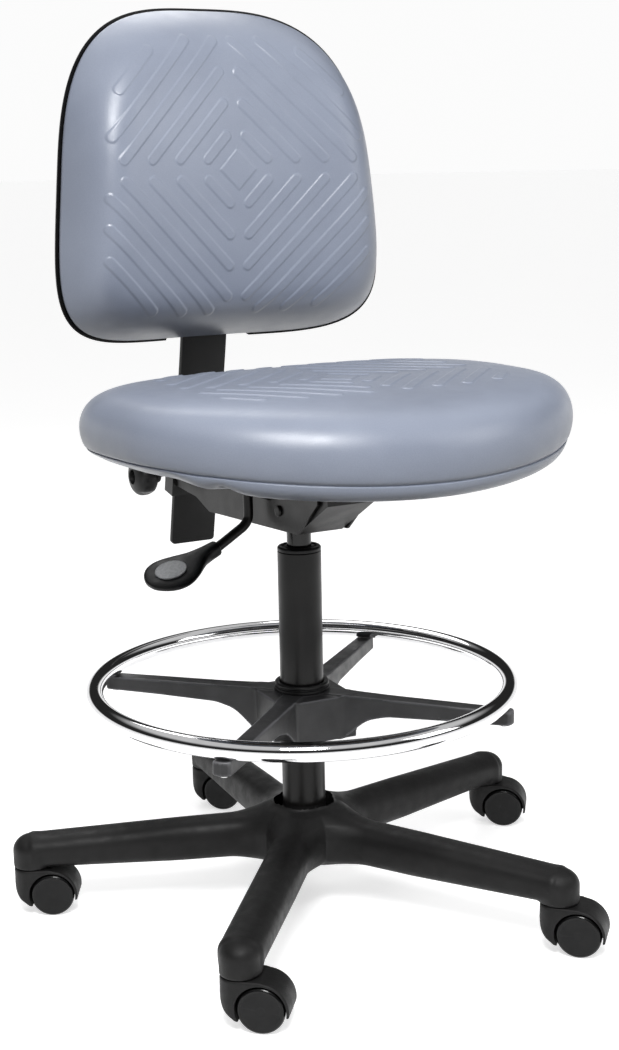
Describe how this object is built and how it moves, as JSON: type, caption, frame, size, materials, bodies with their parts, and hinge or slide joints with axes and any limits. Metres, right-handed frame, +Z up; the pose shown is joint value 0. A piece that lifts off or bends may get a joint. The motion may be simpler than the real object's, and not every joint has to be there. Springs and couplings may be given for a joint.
{
  "type": "drafting chair",
  "caption": "Drafting chair with a padded seat and back on a gas column, a chrome foot ring, a height lever and a castor base.",
  "frame": {"origin": "middle of the chair's box at floor level; the column's axis stands 23.9 mm towards -X and 7.8 mm towards -Y of it", "axes": "+Z up; the sitter faces -Y; -X is the sitter's right, the side of the height lever"},
  "size_m": [0.6818, 0.6643, 1.0283],
  "materials": {
    "polyurethane": "satin self-skinned foam",
    "moulded_black": "satin",
    "nylon_black": "fine grain",
    "painted_black": "satin",
    "cast_grey": "satin",
    "chrome": "polished",
    "bright_steel": "satin",
    "plywood": "raw",
    "grey_disc": "matte"
  },
  "bodies": {
    "base": {"base_star": "nylon_black", "column_tube": "painted_black", "guide_bushing": "moulded_black", "thrust_bearing": "bright_steel", "castor_1_stem": "bright_steel", "castor_2_stem": "bright_steel", "castor_3_stem": "bright_steel", "castor_4_stem": "bright_steel", "castor_5_stem": "bright_steel"},
    "piston": {"piston_rod": "bright_steel", "retaining_clip": "bright_steel"},
    "seat_control": {"gas_cylinder": "painted_black", "chassis": "painted_black", "pivot_pin_right": "painted_black", "pivot_pin_left": "painted_black", "seat_plate": "painted_black", "seat_bolt_1": "bright_steel", "seat_bolt_2": "bright_steel", "seat_bolt_3": "bright_steel", "seat_bolt_4": "bright_steel", "seat_pan": "plywood", "seat_cushion": "polyurethane"},
    "release_pin": {"release_pin": "bright_steel"},
    "height_lever": {"height_lever_rod": "painted_black", "height_lever_paddle": "moulded_black", "lever_disc": "grey_disc"},
    "back_arm": {"back_arm": "painted_black"},
    "clamp_knob": {"clamp_knob": "moulded_black"},
    "back": {"back_upright": "painted_black", "back_shell": "moulded_black", "back_cushion": "polyurethane", "back_screw_1": "bright_steel", "back_screw_2": "bright_steel"},
    "foot_ring": {"foot_ring": "chrome", "foot_ring_hub": "cast_grey", "ring_screw_1": "bright_steel", "ring_screw_2": "bright_steel", "ring_screw_3": "bright_steel", "ring_screw_4": "bright_steel"},
    "lock_collar": {"lock_collar": "moulded_black"},
    "castor_1": {"castor_1_hood": "nylon_black", "castor_1_axle": "bright_steel"},
    "castor_1_left_wheel": {"castor_1_wheel_left": "nylon_black"},
    "castor_1_right_wheel": {"castor_1_wheel_right": "nylon_black"},
    "castor_2": {"castor_2_hood": "nylon_black", "castor_2_axle": "bright_steel"},
    "castor_2_left_wheel": {"castor_2_wheel_left": "nylon_black"},
    "castor_2_right_wheel": {"castor_2_wheel_right": "nylon_black"},
    "castor_3": {"castor_3_hood": "nylon_black", "castor_3_axle": "bright_steel"},
    "castor_3_left_wheel": {"castor_3_wheel_left": "nylon_black"},
    "castor_3_right_wheel": {"castor_3_wheel_right": "nylon_black"},
    "castor_4": {"castor_4_hood": "nylon_black", "castor_4_axle": "bright_steel"},
    "castor_4_left_wheel": {"castor_4_wheel_left": "nylon_black"},
    "castor_4_right_wheel": {"castor_4_wheel_right": "nylon_black"},
    "castor_5": {"castor_5_hood": "nylon_black", "castor_5_axle": "bright_steel"},
    "castor_5_left_wheel": {"castor_5_wheel_left": "nylon_black"},
    "castor_5_right_wheel": {"castor_5_wheel_right": "nylon_black"}
  },
  "joints": [
    {"name": "seat_swivel", "type": "hinge", "parent": "base", "child": "piston", "pos_m": [-0.0239, -0.0078, 0.07], "axis": [0, 0, 1], "continuous": true},
    {"name": "seat_height", "type": "slide", "parent": "piston", "child": "seat_control", "axis": [0, 0, 1], "range_m": [0, 0.245]},
    {"name": "height_lever", "type": "hinge", "parent": "seat_control", "child": "height_lever", "pos_m": [-0.0519, -0.0078, 0.4957], "axis": [0, 1, 0], "range_deg": [0, 7], "stiffness_Nm_per_rad": 6, "springref_deg": -3.44},
    {"name": "release_pin", "type": "slide", "parent": "seat_control", "child": "release_pin", "axis": [0, 0, -1], "range_m": [0, 0.0036]},
    {"name": "back_angle", "type": "hinge", "parent": "seat_control", "child": "back_arm", "pos_m": [-0.0239, -0.0238, 0.469], "axis": [-1, 0, 0], "range_deg": [-5, 10]},
    {"name": "clamp_knob_turn", "type": "hinge", "parent": "back_arm", "child": "clamp_knob", "pos_m": [-0.0239, 0.26659, 0.47], "axis": [-1, 0, 0], "range_deg": [0, 360]},
    {"name": "back_height", "type": "slide", "parent": "back_arm", "child": "back", "axis": [0, -0.2021, 0.9794], "range_m": [-0.015, 0.05]},
    {"name": "foot_ring_height", "type": "slide", "parent": "base", "child": "foot_ring", "axis": [0, 0, 1], "range_m": [-0.065, 0.14]},
    {"name": "lock_collar_turn", "type": "hinge", "parent": "foot_ring", "child": "lock_collar", "pos_m": [-0.0239, -0.0078, 0.258], "axis": [0, 0, 1], "range_deg": [0, 60]},
    {"name": "castor_1_swivel", "type": "hinge", "parent": "base", "child": "castor_1", "pos_m": [0.28615, 0.06767, 0.05], "axis": [0, 0, 1], "continuous": true},
    {"name": "castor_1_left_roll", "type": "hinge", "parent": "castor_1", "child": "castor_1_left_wheel", "pos_m": [0.30472, 0.05295, 0.025], "axis": [0.6211, 0.7837, 0], "continuous": true},
    {"name": "castor_1_right_roll", "type": "hinge", "parent": "castor_1", "child": "castor_1_right_wheel", "pos_m": [0.30472, 0.05295, 0.025], "axis": [0.6211, 0.7837, 0], "continuous": true},
    {"name": "castor_2_swivel", "type": "hinge", "parent": "base", "child": "castor_2", "pos_m": [0.00014, 0.31039, 0.05], "axis": [0, 0, 1], "continuous": true},
    {"name": "castor_2_left_roll", "type": "hinge", "parent": "castor_2", "child": "castor_2_left_wheel", "pos_m": [0.01713, 0.29387, 0.025], "axis": [0.6972, 0.7169, 0], "continuous": true},
    {"name": "castor_2_right_roll", "type": "hinge", "parent": "castor_2", "child": "castor_2_right_wheel", "pos_m": [0.01713, 0.29387, 0.025], "axis": [0.6972, 0.7169, 0], "continuous": true},
    {"name": "castor_3_swivel", "type": "hinge", "parent": "base", "child": "castor_3", "pos_m": [-0.31909, 0.11339, 0.05], "axis": [0, 0, 1], "continuous": true},
    {"name": "castor_3_left_roll", "type": "hinge", "parent": "castor_3", "child": "castor_3_left_wheel", "pos_m": [-0.29822, 0.10215, 0.025], "axis": [0.4741, 0.8805, 0], "continuous": true},
    {"name": "castor_3_right_roll", "type": "hinge", "parent": "castor_3", "child": "castor_3_right_wheel", "pos_m": [-0.29822, 0.10215, 0.025], "axis": [0.4741, 0.8805, 0], "continuous": true},
    {"name": "castor_4_swivel", "type": "hinge", "parent": "base", "child": "castor_4", "pos_m": [-0.23038, -0.2511, 0.05], "axis": [0, 0, 1], "continuous": true},
    {"name": "castor_4_left_roll", "type": "hinge", "parent": "castor_4", "child": "castor_4_left_wheel", "pos_m": [-0.21206, -0.26614, 0.025], "axis": [0.6347, 0.7727, 0], "continuous": true},
    {"name": "castor_4_right_roll", "type": "hinge", "parent": "castor_4", "child": "castor_4_right_wheel", "pos_m": [-0.21206, -0.26614, 0.025], "axis": [0.6347, 0.7727, 0], "continuous": true},
    {"name": "castor_5_swivel", "type": "hinge", "parent": "base", "child": "castor_5", "pos_m": [0.14368, -0.27935, 0.05], "axis": [0, 0, 1], "continuous": true},
    {"name": "castor_5_left_roll", "type": "hinge", "parent": "castor_5", "child": "castor_5_left_wheel", "pos_m": [0.16024, -0.29631, 0.025], "axis": [0.7157, 0.6984, 0], "continuous": true},
    {"name": "castor_5_right_roll", "type": "hinge", "parent": "castor_5", "child": "castor_5_right_wheel", "pos_m": [0.16024, -0.29631, 0.025], "axis": [0.7157, 0.6984, 0], "continuous": true}
  ],
  "couplings": [
    {"joint": "release_pin", "follows": "height_lever", "m_per_rad": 0.028}
  ]
}
